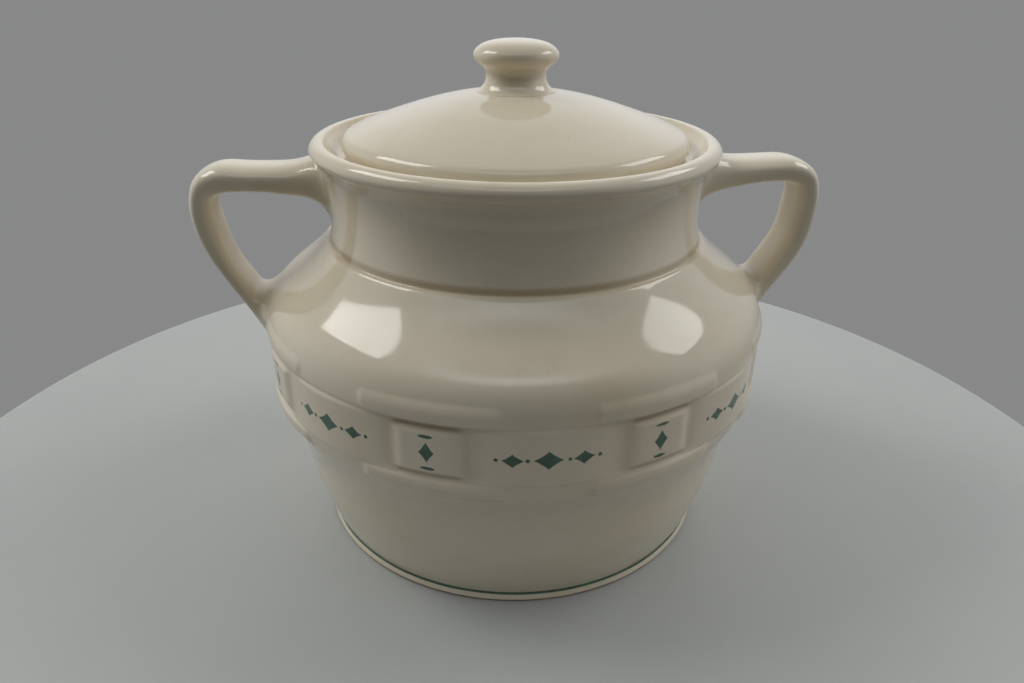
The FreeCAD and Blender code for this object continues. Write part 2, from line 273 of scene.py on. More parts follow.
def cubic(knots, values, at, first, last):
    """A smooth curve through the values at the knots, with its end slopes, read where asked."""
    n = len(knots)
    gap = np.diff(knots)
    rise = np.diff(values, axis=0) / gap[:, None]
    left = np.zeros((n, n))
    right = np.zeros_like(values)
    left[0, 0] = left[-1, -1] = 1
    right[0], right[-1] = first, last
    for i in range(1, n - 1):
        left[i, i - 1] = 1 / gap[i - 1]
        left[i, i] = 2 / gap[i - 1] + 2 / gap[i]
        left[i, i + 1] = 1 / gap[i]
        right[i] = 3 * (rise[i - 1] / gap[i - 1] + rise[i] / gap[i])
    slope = np.linalg.solve(left, right)
    k = np.clip(np.searchsorted(knots, at, side="right") - 1, 0, n - 2)
    u = ((at - knots[k]) / gap[k])[:, None]
    h = gap[k][:, None]
    return ((1 + 2 * u) * (1 - u)**2 * values[k] + u * (1 - u)**2 * h * slope[k]
            + u**2 * (3 - 2 * u) * values[k + 1] - u**2 * (1 - u) * h * slope[k + 1])


def lengths(points):
    """How far along a run each of its points lies."""
    return np.concatenate([[0.0], np.cumsum(np.linalg.norm(np.diff(points, axis=0), axis=1))])


def curve(points, start, end):
    """A smooth run through the points, with its headings at both ends."""
    points = np.array(points, float)
    knots = lengths(points)
    at = np.linspace(0, knots[-1], max(int(knots[-1] / profile_step), 3))
    return cubic(knots, points, at, unit(start), unit(end))


def line(p, q):
    return np.array([p, q], float)


def arc(p, q, s):
    """A round stretch through three points."""
    (ax, ay), (bx, by), (cx, cy) = p, q, s
    d = 2 * (ax * (by - cy) + bx * (cy - ay) + cx * (ay - by))
    a, b, c = ax * ax + ay * ay, bx * bx + by * by, cx * cx + cy * cy
    centre = np.array([(a * (by - cy) + b * (cy - ay) + c * (ay - by)) / d,
                       (a * (cx - bx) + b * (ax - cx) + c * (bx - ax)) / d])
    radius = math.hypot(ax - centre[0], ay - centre[1])
    turns = [math.atan2(y - centre[1], x - centre[0]) for x, y in (p, q, s)]
    turns = np.unwrap(turns)
    steps = max(int(abs(turns[2] - turns[0]) * radius / profile_step), 4)
    angles = np.linspace(turns[0], turns[2], steps)
    return centre + radius * np.stack([np.cos(angles), np.sin(angles)], axis=1)


def between(low, high, shape):
    """Points at shares of the way from one (radius, height) corner to another."""
    wide, tall = high[0] - low[0], high[1] - low[1]
    return [(low[0] + out * wide, low[1] + up * tall) for out, up in shape]


def read(points, along, at):
    """The points of a run at other distances along it."""
    return np.stack([np.interp(at, along, values) for values in points.T], axis=-1)


def joined(runs):
    """Runs given with their widest row spacing, as one path of even steps and the spacing there."""
    points, widest = [], []
    for run, spacing in runs:
        points += list(run)
        widest += [spacing] * len(run)
    points, widest = np.array(points), np.array(widest, float)
    keep = np.concatenate([[True], np.linalg.norm(np.diff(points, axis=0), axis=1) > 1e-6])
    points, widest = points[keep], widest[keep]
    along = lengths(points)
    at = np.linspace(0, along[-1], int(along[-1] / profile_step))
    return read(points, along, at), np.interp(at, along, widest)


def softened(path, blur):
    """The path as a coat of glaze leaves it, with every corner rounded by about the blur."""
    reach = int(4 * blur / profile_step)
    weights = np.exp(-0.5 * (np.arange(-reach, reach + 1) * profile_step / blur)**2)
    weights /= weights.sum()
    before, after = 2 * path[0] - path[reach:0:-1], 2 * path[-1] - path[-2:-reach - 2:-1]
    padded = np.concatenate([before, path, after])
    return np.stack([np.convolve(padded[:, i], weights, "valid") for i in range(2)], axis=1)


def rows_of(path, widest):
    """The points of an even path that a mesh needs: close in turns, wide where it is straight."""
    way = np.gradient(path, axis=0)
    heading = np.unwrap(np.arctan2(way[:, 1], way[:, 0]))
    turning = np.abs(np.gradient(heading)) / profile_step
    spacing = np.clip(row_turn / np.maximum(turning, 1e-6), finest_row, widest)
    ease = 7
    spacing = np.pad(spacing, ease, mode="edge")
    spacing = np.convolve(spacing, np.ones(2 * ease + 1) / (2 * ease + 1), "valid")
    count = np.concatenate([[0.0], np.cumsum(profile_step / spacing[1:])])
    at = np.linspace(0, count[-1], int(count[-1]) + 1)
    return read(path, count, at)


# Relief of the woven belt

def soft_max(a, b, blend):
    """The larger of the two, with a smooth change from one to the other over the blend."""
    share = np.clip(0.5 + 0.5 * (a - b) / blend, 0, 1)
    return b + (a - b) * share + blend * share * (1 - share)


def soft_min(a, b, blend):
    return -soft_max(-a, -b, blend)


def from_middle(azimuth, first):
    """Degrees from the nearest of a kind of the belt's pieces, the first being at that azimuth."""
    return np.abs((azimuth - first + half_step) % repeat_angle - half_step)


def offset_axis(half_angle, drop):
    """How far out a strip's axis lies, so that its face falls by the drop at the half angle."""
    near, far = 0.0, 0.9 * belly_radius
    angle = math.radians(half_angle)
    for _ in range(50):
        middle = (near + far) / 2
        small = belly_radius - middle
        over = math.sqrt(max(small**2 - (middle * math.sin(angle))**2, 0.0))
        if belly_radius - (middle * math.cos(angle) + over) < drop:
            near = middle
        else:
            far = middle
    return near


def strip_face(degrees, half_angle, drop):
    """The radius of a strip's face, which bulges over an upright and sinks to both sides of it."""
    middle = offset_axis(half_angle, drop)
    angle = np.radians(np.minimum(degrees, half_angle + 2))
    small = belly_radius - middle
    return middle * np.cos(angle) + np.sqrt(np.maximum(small**2 - (middle * np.sin(angle))**2, 0))


def thin_weaver(azimuth, z, crest, half_height, proud):
    """The face of the thin strips at that crest's height, which pass over the uprights."""
    half_angle = half_step - bar_tuck
    off = from_middle(azimuth, half_step)
    round_radius = (half_height**2 + bar_depth**2) / (2 * bar_depth)
    away = np.abs(z - crest)
    near = np.minimum(away, half_height)
    fall = round_radius - np.sqrt(round_radius**2 - near**2) + bar_edge_slope * (away - near)
    ends = bar_end_slope * np.maximum(off - half_angle, 0)
    return proud + strip_face(off, half_angle, bar_sink) - fall - ends


def broad_weaver(azimuth, z):
    """The face of the broad strips between the uprights, with rounded lips above and below."""
    half_angle = half_step - weaver_tuck
    off = from_middle(azimuth, 0)
    lip = weaver_lip_radius
    into_lip = np.maximum(np.maximum(z - (weaver_top - lip), weaver_bottom + lip - z), 0)
    near = np.minimum(into_lip, 0.96 * lip)
    fall = lip - np.sqrt(lip**2 - near**2) + weaver_edge_slope * (into_lip - near)
    ends = weaver_end_slope * np.maximum(off - half_angle, 0)
    return weaver_proud + strip_face(off, half_angle, weaver_sink) - fall - ends


def narrow_panel(azimuth, z):
    """The face of the narrow upright panels."""
    off = from_middle(azimuth, half_step)
    depth = relief_depth + panel_root_depth
    side = (off - panel_top_half_angle) * depth / (panel_foot_half_angle - panel_top_half_angle)
    end_low = (belly_bottom - panel_below_belly + panel_end_slope - z) * depth / panel_end_slope
    end_high = (z - belly_top - panel_above_belly + panel_end_slope) * depth / panel_end_slope
    ends = soft_max(end_low, end_high, panel_corner_blend)
    slope = soft_max(side, ends, panel_corner_blend)
    return belly_radius - soft_max(slope, np.zeros_like(slope), panel_top_blend)


def woven(azimuth, z, skin):
    """The body's radius with the belt's relief on it; the skin is its radius without."""
    below = weaver_bottom + weaver_lap - z
    above = z - weaver_top + weaver_lap
    channel = valley_radius + channel_slope * np.maximum(np.maximum(below, above), 0)
    radius = soft_min(skin, channel, glaze_fill)
    upper = thin_weaver(azimuth, z, upper_bar_crest, upper_bar_half_height, upper_bar_proud)
    lower = thin_weaver(azimuth, z, lower_bar_crest, lower_bar_half_height, lower_bar_proud)
    radius = soft_max(radius, soft_max(upper, lower, glaze_fill), glaze_fill)
    radius = soft_max(radius, broad_weaver(azimuth, z), glaze_fill)
    return soft_max(radius, narrow_panel(azimuth, z), panel_fill)


# Outlines of the body

def outside_runs():
    """The body's outline from the middle of its underside, up the outside to the rim's crest."""
    recess_edge = foot_radius - foot_edge - foot_ring_width
    foot_waist = (foot_radius - foot_waist_depth, foot_waist_height)
    foot_top = (foot_radius, foot_edge)
    belly_low = (belly_radius, belly_bottom)
    belly_high = (belly_radius, belly_top)
    shoulder_end = (shoulder_end_radius, shoulder_end_height)
    lower = [foot_waist] + between(foot_waist, belly_low, lower_wall_shape) + [belly_low]
    corners = (shoulder_end_radius, belly_top), (belly_radius, shoulder_end_height)
    upper = [belly_high] + between(*corners, shoulder_shape) + [shoulder_end]
    neck_start = (neck_top_radius, shoulder_end_height + neck_step_rise)
    neck_waist = (neck_radius, shoulder_end_height + neck_waist_rise)
    neck_top = (neck_top_radius, neck_top_height)
    rim_out = (neck_top_radius + rim_overhang, neck_top_height + 0.7 * rim_height)
    rim_under = (neck_top_radius + 0.48 * rim_overhang, neck_top_height + 0.39 * rim_height)
    rim_low = (neck_top_radius + 0.9 * rim_overhang, neck_top_height + 0.52 * rim_height)
    rim_crest = (neck_top_radius, rim_top_height)
    rim_high = (rim_out[0] - bend * rim_overhang,
                rim_top_height - bend * (rim_top_height - rim_out[1]))
    edge_foot = (foot_radius - foot_edge, 0)
    edge_middle = (foot_radius - bend * foot_edge, bend * foot_edge)
    return [
        (line((0, foot_recess), (recess_edge - foot_recess, foot_recess)), inside_row),
        (line((recess_edge - foot_recess, foot_recess), (recess_edge, 0)), outside_row),
        (line((recess_edge, 0), edge_foot), outside_row),
        (arc(edge_foot, edge_middle, foot_top), outside_row),
        (line(foot_top, foot_waist), outside_row),
        (curve(lower, (0.5, 1), (0, 1)), outside_row),
        (line(belly_low, belly_high), belt_row),
        (curve(upper, (0, 1), (-0.8, 0.8)), outside_row),
        (line(shoulder_end, neck_start), outside_row),
        (arc(neck_start, neck_waist, neck_top), outside_row),
        (line(neck_top, rim_under), outside_row),
        (arc(rim_under, rim_low, rim_out), outside_row),
        (arc(rim_out, rim_high, rim_crest), outside_row),
    ]


def inside_runs():
    """The outline from the rim's crest over the gallery and down inside to the floor's middle."""
    rim_crest = (neck_top_radius, rim_top_height)
    rim_inside = (neck_top_radius - rim_inner_inset, rim_top_height - rim_inner_drop)
    rim_fall = (rim_crest[0] - (1 - bend) * rim_inner_inset, rim_crest[1] - bend * rim_inner_drop)
    ledge_outer = (ledge_outer_radius, ledge_height)
    ledge_inner = (mouth_radius, ledge_height)
    slope_middle = between(ledge_outer, rim_inside, [(0.42, 0.30)])[0]
    mouth_foot = (mouth_radius, ledge_height - ledge_thickness)
    neck_inside = neck_radius - wall
    neck_inside_top = (neck_inside, mouth_foot[1] - ledge_underside_drop)
    belly_inside = valley_radius - wall
    floor_radius = foot_radius - wall - floor_fillet + 5.0
    floor_edge = (floor_radius, base_thickness)
    under_shoulder = [neck_inside_top, (neck_inside + 0.4, shoulder_end_height + 5),
                      (belly_inside - 9, belly_top + 27), (belly_inside, belly_top)]
    to_floor = [(belly_inside, belly_bottom), (belly_inside - 8, 50.0), (floor_radius + 16, 20.0),
                floor_edge]
    return [
        (arc(rim_crest, rim_fall, rim_inside), outside_row),
        (arc(rim_inside, slope_middle, ledge_outer), outside_row),
        (line(ledge_outer, ledge_inner), outside_row),
        (line(ledge_inner, mouth_foot), outside_row),
        (line(mouth_foot, neck_inside_top), inside_row),
        (curve(under_shoulder, (0, -1), (0, -1)), inside_row),
        (line(under_shoulder[-1], to_floor[0]), inside_row),
        (curve(to_floor, (0, -1), (-1, 0)), inside_row),
        (line(floor_edge, (0, base_thickness)), inside_row),
    ]


body_path, body_spacing = joined(outside_runs() + inside_runs())
body_path = softened(body_path, body_blur)
outer_end = int(np.argmax(body_path[:, 1]))
in_belt = (body_path[:, 1] > belt_low) & (body_path[:, 1] < belt_high)
in_belt &= body_path[:, 0] > valley_radius - 3
in_belt[outer_end:] = False
body_spacing[in_belt] = belt_row
body_rows = rows_of(body_path, body_spacing)
body_outside_rows = int(np.argmax(body_rows[:, 1])) + 1
outer_start = int(np.argmax(body_path[:outer_end, 1] > foot_edge))
skin_path = body_path[outer_start:outer_end]


def plain_skin(z):
    """The body's radius outside at that height, before the belt's relief."""
    return np.interp(z, skin_path[:, 1], skin_path[:, 0])


def skin_radius(azimuth, z):
    """The body's radius outside with the belt's relief on it."""
    skin = plain_skin(z)
    return np.where((z > belt_low) & (z < belt_high), woven(azimuth, z, skin), skin)


# Meshes

def mesh_object(name, points, faces):
    mesh = bpy.data.meshes.new(name)
    mesh.from_pydata([tuple(p) for p in points * MM], [], faces)
    mesh.validate()
    mesh.shade_smooth()
    piece = bpy.data.objects.new(name, mesh)
    bpy.context.scene.collection.objects.link(piece)
    return piece


def ring_faces(rows, columns):
    """Quads of a grid whose columns close round, seen from outside."""
    i, j = np.meshgrid(np.arange(rows - 1), np.arange(columns), indexing="ij")
    k = (j + 1) % columns
    lower, upper = i * columns, (i + 1) * columns
    return np.stack([lower + j, lower + k, upper + k, upper + j], axis=-1).reshape(-1, 4).tolist()


def turned_grid(rows, columns):
    """A profile turned round the axis: a grid of points by row and column."""
    azimuth = np.radians(np.arange(columns) * 360.0 / columns)
    grid = np.empty((len(rows), columns, 3))
    grid[:, :, 0] = rows[:, :1] * np.sin(azimuth)
    grid[:, :, 1] = -rows[:, :1] * np.cos(azimuth)
    grid[:, :, 2] = rows[:, 1:]
    return grid


def turned_mesh(name, grid):
    """A closed piece from a turned grid whose first and last rows lie on the axis."""
    rows, columns = grid.shape[:2]
    ring = grid[1:-1].reshape(-1, 3)
    points = np.concatenate([ring, grid[0, :1], grid[-1, :1]])
    faces = ring_faces(rows - 2, columns)
    first, last = len(ring), len(ring) + 1
    top = (rows - 3) * columns
    faces += [[first, (j + 1) % columns, j] for j in range(columns)]
    faces += [[last, top + j, top + (j + 1) % columns] for j in range(columns)]
    return mesh_object(name, points, faces)


def strap_grid(strap):
    """A right handle's strap as rings along its middle line, before its roots meet the body."""
    stations = np.array(upper_root + strap + lower_root)
    middle = np.stack([neck_top_radius + stations[:, 0], belly_top + stations[:, 1]], axis=1)
    tilt = np.radians(stations[:, 2])
    half = strap_half_thickness + stations[:, 3]
    values = np.column_stack([middle, half * np.cos(tilt), half * np.sin(tilt),
                              strap_half_width + stations[:, 4]])
    knots = lengths(middle)
    at = np.linspace(0, knots[-1], strap_rows)
    first = (values[1] - values[0]) / (knots[1] - knots[0])
    last = (values[-1] - values[-2]) / (knots[-1] - knots[-2])
    smooth = cubic(knots, values, at, first, last)
    angle = np.arange(strap_columns) * 2 * math.pi / strap_columns
    power = 2.0 / strap_squareness
    across = np.sign(np.cos(angle)) * np.abs(np.cos(angle))**power
    over = np.sign(np.sin(angle)) * np.abs(np.sin(angle))**power
    grid = np.empty((strap_rows, strap_columns, 3))
    grid[:, :, 0] = smooth[:, 0:1] + smooth[:, 2:3] * over
    grid[:, :, 1] = smooth[:, 4:5] * across
    grid[:, :, 2] = smooth[:, 1:2] + smooth[:, 3:4] * over
    return grid


def strap_faces(rows):
    """Faces of a strap's rings, with one over each end."""
    first = list(range(strap_columns))
    last = [(rows - 1) * strap_columns + j for j in first]
    return ring_faces(rows, strap_columns) + [first[::-1], last]


def out_of_skin(points):
    """How far outside the body's skin each point lies, and the way straight out of it there."""
    flat = np.hypot(points[:, 0], points[:, 1])
    azimuth = np.degrees(np.arctan2(points[:, 0], -points[:, 1]))
    z = points[:, 2]
    slope = plain_skin(z + 0.5) - plain_skin(z - 0.5)
    level = 1 / np.sqrt(1 + slope**2)
    outward = np.stack([points[:, 0] / flat, points[:, 1] / flat, -slope], axis=1) * level[:, None]
    return (flat - skin_radius(azimuth, z)) * level, outward


def root_run(column, depth, normals, reaches):
    """The fillet where one line along the strap, given from the air, goes into the skin: its points
    from the strap out onto the skin and under it, and how far along the line it starts."""
    along = lengths(column)
    inside = int(np.argmax(depth <= 0))
    share = depth[inside - 1] / (depth[inside - 1] - depth[inside])
    crossing = along[inside - 1] + share * (along[inside] - along[inside - 1])
    meets = read(column, along, crossing)
    leaves = normals[inside]
    reach = float(np.interp(leaves[2], (-1.0, 0.0, 1.0), reaches))
    start = read(column, along, crossing - reach)
    heading = unit(start - read(column, along, crossing - reach - 0.5))
    out = out_of_skin(meets[None])[1][0]
    spread = unit(leaves - out * leaves.dot(out))
    end = meets + spread * reach
    for _ in range(3):
        height, out = out_of_skin(end[None])
        end = end - out[0] * height[0]
    out = out_of_skin(end[None])[1][0]
    spread = unit(spread - out * spread.dot(out))
    t = np.linspace(0, 1, root_rows)[:, None]
    ease = root_fullness * reach
    arch = ((1 - t)**3 * start + 3 * t * (1 - t)**2 * (start + heading * ease)
            + 3 * t**2 * (1 - t) * (end - spread * ease) + t**3 * end)
    sunk = [end + spread * on - out * down for on, down in root_under]
    return np.concatenate([arch, sunk]), crossing - reach


def rooted_strap(strap):
    """A right handle's points, both ends run out onto the skin, and the pooled glaze and painted
    shade at its roots.
    """
    grid = strap_grid(strap)
    rows, columns = grid.shape[:2]
    depth = out_of_skin(grid.reshape(-1, 3))[0].reshape(rows, columns)
    normals = grid_normals(grid)
    middle = rows // 2
    up, down = slice(middle, None, -1), slice(middle, None)
    lines = []
    for j in range(columns):
        upper, upper_start = root_run(grid[up, j], depth[up, j], normals[up, j], upper_root_reaches)
        lower, lower_start = root_run(grid[down, j], depth[down, j], normals[down, j],
                                      lower_root_reaches)
        along = lengths(grid[:, j])
        at = np.linspace(along[middle] - upper_start, along[middle] + lower_start, rows)[1:-1]
        lines.append(np.concatenate([upper[::-1], read(grid[:, j], along, at), lower]))
    points = np.stack(lines, axis=1)
    # The roots are painted darker where the strap meets the body: pooled glaze and painted shade
    root = np.append(np.sin(np.linspace(0, math.pi, root_rows)), np.zeros(len(root_under)))
    pooled_and_shade = np.concatenate([root[::-1], np.zeros(rows - 2), root])
    return points, np.repeat(pooled_and_shade[:, None], columns, axis=1)


def grid_normals(grid):
    """Unit normals of a strap's grid, pointing out of it."""
    along = np.gradient(grid, axis=0)
    round_it = np.roll(grid, -1, axis=1) - np.roll(grid, 1, axis=1)
    normals = np.cross(round_it, along)
    normals /= np.maximum(np.linalg.norm(normals, axis=2, keepdims=True), 1e-9)
    outward = grid - grid.mean(axis=1, keepdims=True)
    if (normals * outward).sum() < 0:
        normals = -normals
    return normals


def keep_pooled_and_shade(piece, values):
    """Store on each point how much it is darkened, by pooled glaze and painted shade, for the
    materials to read.
    """
    layer = piece.data.attributes.new("pooled_and_shade", "FLOAT", "POINT")
    layer.data.foreach_set("value", values.astype(np.float32))


def body_and_handles():
    """The body with the belt's relief, and both handles, the right one first."""
    grid = turned_grid(body_rows, body_columns)
    azimuth = np.arange(body_columns) * 360.0 / body_columns
    belt = [i for i in range(body_outside_rows) if belt_low < body_rows[i, 1] < belt_high]
    z = body_rows[belt, 1:]
    skin = body_rows[belt, :1]
    radius = woven(azimuth[None, :], z, skin)
    grid[belt, :, 0] = radius * np.sin(np.radians(azimuth))
    grid[belt, :, 1] = -radius * np.cos(np.radians(azimuth))
    pooled_and_shade = np.zeros(grid.shape[:2])
    # Darker the deeper the relief sinks under the skin: pooled glaze and painted shade in the
    # hollows
    pooled_and_shade[belt] = np.clip((skin - radius) / relief_depth, 0, 1)
    body = turned_mesh("body_glazed", grid)
    keep_pooled_and_shade(body, np.append(pooled_and_shade[1:-1].ravel(), [0.0, 0.0]))
    handles = []
    for side, strap, turn in (("right", right_strap, 1), ("left", left_strap, -1)):
        points, pooled_and_shade = rooted_strap(strap)
        handle = mesh_object(f"handle_{side}_glazed", points.reshape(-1, 3) * (turn, turn, 1),
                             strap_faces(len(points)))
        keep_pooled_and_shade(handle, pooled_and_shade.ravel())
        handles.append(handle)
    return body, handles


def lid_and_knob():
    """Both from one softened outline, so that the knob's foot runs out onto the lid's dome."""
    edge_radius = ledge_outer_radius - lid_edge_gap
    dome_edge = (edge_radius - lid_edge_roll, seat_height + lid_edge_thickness)
    edge_out = (edge_radius, seat_height + 0.45 * lid_edge_thickness)
    edge_low = (edge_radius - lid_edge_roll, seat_height)
    crown = (0, crown_height)
    dome_points = [crown] + between(crown, dome_edge, lid_dome_shape) + [dome_edge]
    dome = curve(dome_points, (1, 0), (1, -0.46))
    knob_top = (0, knob_top_height)
    knob_corner = (knob_radius, knob_top_height)
    side = between((knob_waist_radius, crown_height), knob_corner, knob_side_shape)
    cap = between(crown, knob_corner, knob_cap_shape)
    knob_foot = side[0][0]
    dome_out = dome[dome[:, 0] > knob_foot]
    cap_run = curve([knob_top] + cap[::-1] + [side[-1]], (1, 0), (0, -1))
    side_run = curve(side[::-1], (0, -1), (1, -0.4))
    flange_outer = mouth_radius - flange_clearance
    flange_inner = flange_outer - flange_thickness
    flange_foot = seat_height - flange_depth
    inside = [(r, z - lid_thickness) for r, z in dome_points[:-1]] + [(flange_inner, seat_height)]
    underside = [edge_low, (flange_outer, seat_height), (flange_outer - flange_taper, flange_foot),
                 (flange_inner, flange_foot), inside[-1]]
    outline, spacing = joined([
        (cap_run, knob_row), (side_run, knob_side_row), (dome_out, lid_row),
        (arc(dome_edge, edge_out, edge_low), lid_edge_row),
        *[(line(*ends), lid_underside_row) for ends in zip(underside, underside[1:])],
        (curve(inside[::-1], (-1, 0.6), (-1, 0)), inside_row),
    ])
    outline = softened(outline, lid_blur)
    on_lid = (outline[:, 1] < crown_height) & (outline[:, 0] > knob_foot - 0.2)
    split = int(np.argmax(on_lid))
    knob_rows = rows_of(outline[:split], spacing[:split])
    lid_rows = rows_of(outline[split:], spacing[split:])
    into_lid = knob_rows[-1] - (0.6, 1.2)
    knob_rows = np.concatenate([knob_rows, [into_lid, (0, into_lid[1])]])
    under_knob = lid_rows[0] - (1.5, 0.3)
    lid_rows = np.concatenate([[(0, under_knob[1]), under_knob], lid_rows])
    knob_rows[0, 0] = lid_rows[-1, 0] = 0
    knob = turned_mesh("knob_glazed", turned_grid(knob_rows[::-1], knob_columns))
    lid = turned_mesh("lid_glazed", turned_grid(lid_rows[::-1], lid_columns))
    return lid, knob


# Materials

class Graph:
    """Short calls for building a node tree."""

    def __init__(self, tree):
        tree.nodes.clear()
        self.tree = tree

    def node(self, kind, **settings):
        made = self.tree.nodes.new(kind)
        for key, value in settings.items():
            setattr(made, key, value)
        return made

    def link(self, source, target):
        if isinstance(source, bpy.types.NodeSocket):
            self.tree.links.new(source, target)
        else:
            target.default_value = source

    def math(self, operation, a, b=0.0, c=0.0):
        made = self.node("ShaderNodeMath", operation=operation)
        for socket, value in zip(made.inputs, (a, b, c)):
            self.link(value, socket)
        return made.outputs[0]

    def add(self, a, b):
        return self.math("ADD", a, b)

    def take(self, a, b):
        return self.math("SUBTRACT", a, b)

    def times(self, a, b):
        return self.math("MULTIPLY", a, b)

    def size(self, a):
        return self.math("ABSOLUTE", a)

    def most(self, a, b):
        return self.math("MAXIMUM", a, b)

    def least(self, a, b):
        return self.math("MINIMUM", a, b)

    def ramp(self, value, start, end, low=0.0, high=1.0):
        """The value's way from start to end, eased and clamped, as low to high."""
        made = self.node("ShaderNodeMapRange", interpolation_type="SMOOTHSTEP")
        for name, number in (("Value", value), ("From Min", start), ("From Max", end),
                             ("To Min", low), ("To Max", high)):
            self.link(number, made.inputs[name])
        return made.outputs[0]

    def noise(self, place, scale, detail=2.0, roughness=0.5):
        """Noise from 0 to 1, as many times to the metre as the scale."""
        made = self.node("ShaderNodeTexNoise")
        self.link(place, made.inputs["Vector"])
        made.inputs["Scale"].default_value = scale
        made.inputs["Detail"].default_value = detail
        made.inputs["Roughness"].default_value = roughness
        return made.outputs["Fac"]

    def waver(self, place, scale, reach, detail=2.0, roughness=0.5):
        """Noise about zero, to move an edge with."""
        return self.times(self.take(self.noise(place, scale, detail, roughness), 0.5), reach)

    def reach(self, x, y):
        """How long the way is that goes so far along both axes."""
        return self.math("SQRT", self.add(self.times(x, x), self.times(y, y)))

    def pooled_and_shade(self):
        """How much pooled glaze and painted shade darken here, as kept on the mesh."""
        return self.node("ShaderNodeAttribute", attribute_name="pooled_and_shade").outputs["Fac"]

    def surface(self):
        shader = self.node("ShaderNodeBsdfPrincipled")
        self.link(shader.outputs[0], self.node("ShaderNodeOutputMaterial").inputs[0])
        return shader

    def bump(self, height, strength, distance, shader):
        made = self.node("ShaderNodeBump")
        made.inputs["Strength"].default_value = strength
        made.inputs["Distance"].default_value = distance
        self.link(height, made.inputs["Height"])
        self.link(made.outputs[0], shader.inputs["Normal"])

    def mix(self, share, a, b):
        made = self.node("ShaderNodeMix", data_type="RGBA")
        self.link(share, made.inputs["Factor"])
        self.link(a, made.inputs[6])
        self.link(b, made.inputs[7])
        return made.outputs[2]


def linear(red, green, blue):
    """A colour given as it looks on screen, 0 to 255, as a linear one."""
    return tuple(((c / 255 + 0.055) / 1.055)**2.4 for c in (red, green, blue)) + (1.0,)


ivory = linear(226, 217, 196)
ivory_warm = linear(219, 206, 178)
# A brown used for faint clouding, and for pooled glaze and painted shade in the hollows and at the
# handles' roots
pooled_glaze_and_shade = linear(178, 158, 124)
speck = linear(122, 92, 60)
painted_green = linear(38, 84, 66)
painted_edge = linear(60, 108, 88)
bare_clay = linear(176, 112, 66)
bare_clay_dark = linear(134, 82, 48)
table_dark = linear(176, 180, 179)
table_light = linear(184, 187, 185)
glaze_ior = 1.52
glaze_roughness = (0.055, 0.12)
bare_roughness = 0.82
table_roughness = 0.42
speck_strength = 0.55
paint_strength = 0.96


def glaze_base(graph, place):
    """The ivory glaze's own colour: slow warm drifts, fine clouding and a few iron specks."""
    drift = graph.noise(place, 9.0, 3.0, 0.55)
    cloud = graph.noise(place, 60.0, 3.0, 0.6)
    colour = graph.mix(graph.ramp(drift, 0.35, 0.70, 0.0, 0.6), ivory, ivory_warm)
    colour = graph.mix(graph.ramp(cloud, 0.45, 0.80, 0.0, 0.10), colour, pooled_glaze_and_shade)
    cells = graph.node("ShaderNodeTexVoronoi")
    graph.link(place, cells.inputs["Vector"])
    cells.inputs["Scale"].default_value = 130.0
    chance = graph.node("ShaderNodeSeparateColor")
    graph.link(cells.outputs["Color"], chance.inputs[0])
    few = graph.ramp(chance.outputs[0], 0.955, 0.97)
    spot = graph.times(graph.ramp(cells.outputs["Distance"], 0.075, 0.03), few)
    return graph.mix(graph.times(spot, speck_strength), colour, speck)


def finish_glaze(graph, place, colour, bare=None):
    """The gloss and faint orange peel of the glaze, with a matt bare patch where one is given."""
    shader = graph.surface()
    graph.link(colour, shader.inputs["Base Color"])
    shader.inputs["IOR"].default_value = glaze_ior
    gloss = graph.ramp(graph.noise(place, 40.0, 3.0, 0.6), 0.3, 0.8, *glaze_roughness)
    peel = graph.noise(place, 150.0, 2.0, 0.45)
    ripple = graph.noise(place, 28.0, 1.0, 0.4)
    height = graph.add(graph.times(peel, 0.35), ripple)
    if bare is not None:
        glazed = graph.take(1.0, bare)
        gloss = graph.add(graph.times(gloss, glazed), graph.times(bare, bare_roughness))
        grain = graph.times(graph.noise(place, 900.0, 4.0, 0.7), 3.0)
        height = graph.add(graph.times(height, glazed), graph.times(grain, bare))
    graph.link(gloss, shader.inputs["Roughness"])
    graph.bump(height, 0.35, 0.12 * MM, shader)


def new_graph(name):
    material = bpy.data.materials.new(name)
    material.use_nodes = True
    graph = Graph(material.node_tree)
    place = graph.node("ShaderNodeTexCoord").outputs["Object"]
    return material, graph, place


def plain_glaze():
    """Lid, knob and handles, with the handles' roots a little darker: pooled glaze and painted
    shade.
    """
    material, graph, place = new_graph("ivory_glaze")
    # Roots painted darker: pooled glaze and painted shade
    pooled_and_shade = graph.ramp(graph.pooled_and_shade(), 0.2, 1.0, 0.0, 0.3)
    colour = graph.mix(pooled_and_shade, glaze_base(graph, place), pooled_glaze_and_shade)
    finish_glaze(graph, place, colour)
    return material


def lozenge(graph, across, up, x, y, half_width, half_height):
    """Signed distance in millimetres, roughly, to a lozenge with slightly hollow sides."""
    x = graph.times(graph.size(graph.take(across, x)), 1.0 / half_width)
    y = graph.times(graph.size(graph.take(up, y)), 1.0 / half_height)
    x, y = [graph.math("POWER", way, lozenge_power) for way in (x, y)]
    sides = graph.math("POWER", graph.add(x, y), 1.0 / lozenge_power)
    return graph.times(graph.take(sides, 1.0), min(half_width, half_height) * 0.8)


def dot(graph, across, up, x, y, half_width, half_height):
    """The same for a dot, round or flattened."""
    x = graph.times(graph.take(across, x), 1.0 / half_width)
    y = graph.times(graph.take(up, y), 1.0 / half_height)
    return graph.times(graph.take(graph.reach(x, y), 1.0), min(half_width, half_height))


def panel_place(graph, azimuth, first):
    """Millimetres across from the middle of the nearest panel of a row of them."""
    turned = graph.add(graph.take(azimuth, math.radians(first - half_step)), 2 * math.pi)
    step = math.radians(repeat_angle)
    off = graph.take(graph.math("MODULO", turned, step), step / 2)
    return graph.times(off, belly_radius)


